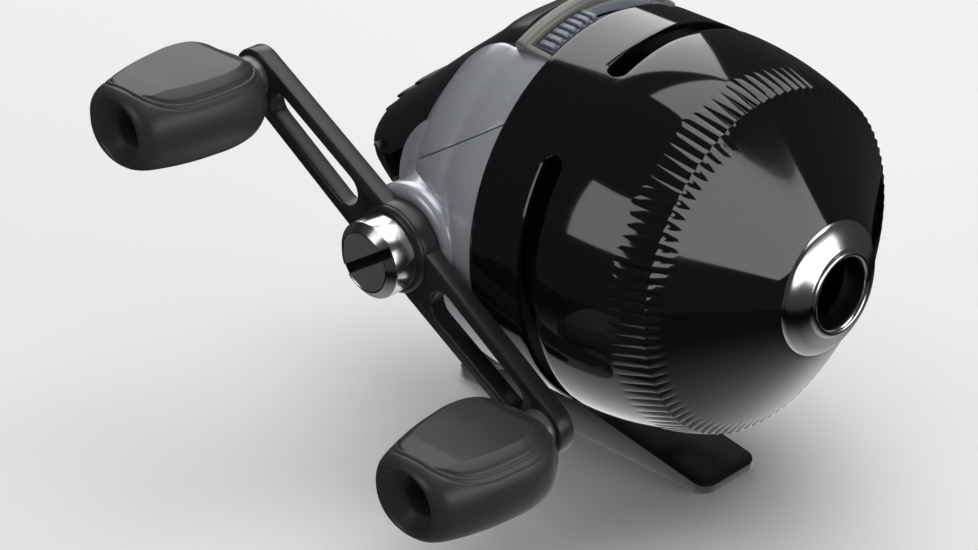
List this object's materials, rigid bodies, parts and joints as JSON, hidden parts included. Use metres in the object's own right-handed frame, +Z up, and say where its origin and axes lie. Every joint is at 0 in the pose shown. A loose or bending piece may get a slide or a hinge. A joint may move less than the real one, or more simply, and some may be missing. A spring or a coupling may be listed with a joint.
{
  "type": "spincast reel",
  "caption": "Closed-face fishing reel with a cone-nosed cover, thumb release button, double-handled side crank with paddle knobs and a rod-seat foot.",
  "frame": {"origin": "centre of the underside of the reel foot, where it sits on the rod", "axes": "+Z up away from the rod, -Y the way the line leaves, -X the crank side"},
  "size_m": [0.1123, 0.1212, 0.09],
  "materials": {
    "cover_black": "deep gloss black",
    "arm_black": "satin black coating",
    "foot_black": "semi-gloss black coating",
    "body_silver": "satin blue-silver paint",
    "bright_chrome": "polished",
    "button_black": "satin charcoal black",
    "knob_black": "soft satin charcoal",
    "drag_grey": "satin blue-grey",
    "hood_grey": "satin warm grey",
    "steel": "ground",
    "alloy": "die-cast",
    "dark_alloy": "dark anodised",
    "brass": "machined",
    "spool_grey": "moulded",
    "felt": "oiled felt"
  },
  "bodies": {
    "housing": {"front_cover": "cover_black", "nose_ring": "bright_chrome", "main_body": "body_silver", "rear_cover": "body_silver", "drag_hood": "hood_grey", "button_pin": "steel", "deck_plate": "alloy", "deck_screws": "steel", "gear_bridge": "alloy", "return_spring": "steel", "drag_washer": "felt", "spool_retainer": "steel", "pawl_pin": "steel", "crank_bushing": "brass", "reel_foot": "foot_black", "foot_screws": "steel"},
    "crank": {"crank_shaft": "steel", "drive_gear": "brass", "ratchet_wheel": "steel", "crank_arm": "arm_black", "crank_nut": "bright_chrome", "knob_spindles": "steel"},
    "knob_upper": {"knob_upper": "knob_black"},
    "knob_lower": {"knob_lower": "knob_black"},
    "pinion": {"pinion": "brass"},
    "plunger": {"thrust_cap": "spool_grey"},
    "rotor": {"centre_shaft": "steel", "spinner_head": "dark_alloy", "pickup_pins": "steel", "spinner_nut": "brass"},
    "spool": {"spool": "spool_grey"},
    "thumb_button": {"thumb_button": "button_black"},
    "drag_wheel": {"drag_wheel": "drag_grey"},
    "pawl": {"pawl": "steel"}
  },
  "joints": [
    {"name": "crank_spin", "type": "hinge", "parent": "housing", "child": "crank", "pos_m": [0, 0.012, 0.05], "axis": [1, 0, 0], "continuous": true},
    {"name": "knob_upper_spin", "type": "hinge", "parent": "crank", "child": "knob_upper", "pos_m": [-0.06, 0.04894, 0.07335], "axis": [1, 0, 0], "continuous": true},
    {"name": "knob_lower_spin", "type": "hinge", "parent": "crank", "child": "knob_lower", "pos_m": [-0.06, -0.02494, 0.02665], "axis": [1, 0, 0], "continuous": true},
    {"name": "pinion_spin", "type": "hinge", "parent": "housing", "child": "pinion", "pos_m": [0, 0, 0.05], "axis": [0, 1, 0], "continuous": true},
    {"name": "plunger_slide", "type": "slide", "parent": "housing", "child": "plunger", "axis": [0, -1, 0], "range_m": [0, 0.003], "deforming": ["return_spring"]},
    {"name": "rotor_spin", "type": "hinge", "parent": "plunger", "child": "rotor", "pos_m": [0, 0, 0.05], "axis": [0, 1, 0], "continuous": true},
    {"name": "spool_spin", "type": "hinge", "parent": "housing", "child": "spool", "pos_m": [0, -0.018, 0.05], "axis": [0, 1, 0], "continuous": true},
    {"name": "button_press", "type": "hinge", "parent": "housing", "child": "thumb_button", "pos_m": [0, 0.0076, 0.081], "axis": [-1, 0, 0], "range_deg": [0, 5.5], "stiffness_Nm_per_rad": 5, "springref_deg": -1.72},
    {"name": "drag_turn", "type": "hinge", "parent": "housing", "child": "drag_wheel", "pos_m": [0, 0, 0.05], "axis": [0, 1, 0], "range_deg": [0, 27]},
    {"name": "pawl_swing", "type": "hinge", "parent": "housing", "child": "pawl", "pos_m": [-0.0125, 0.002, 0.066], "axis": [1, 0, 0], "range_deg": [0, 12]}
  ],
  "couplings": [
    {"joint": "pinion_spin", "follows": "crank_spin", "ratio": -2.6},
    {"joint": "rotor_spin", "follows": "crank_spin", "ratio": -2.6},
    {"joint": "plunger_slide", "follows": "button_press", "m_per_rad": 0.031}
  ]
}
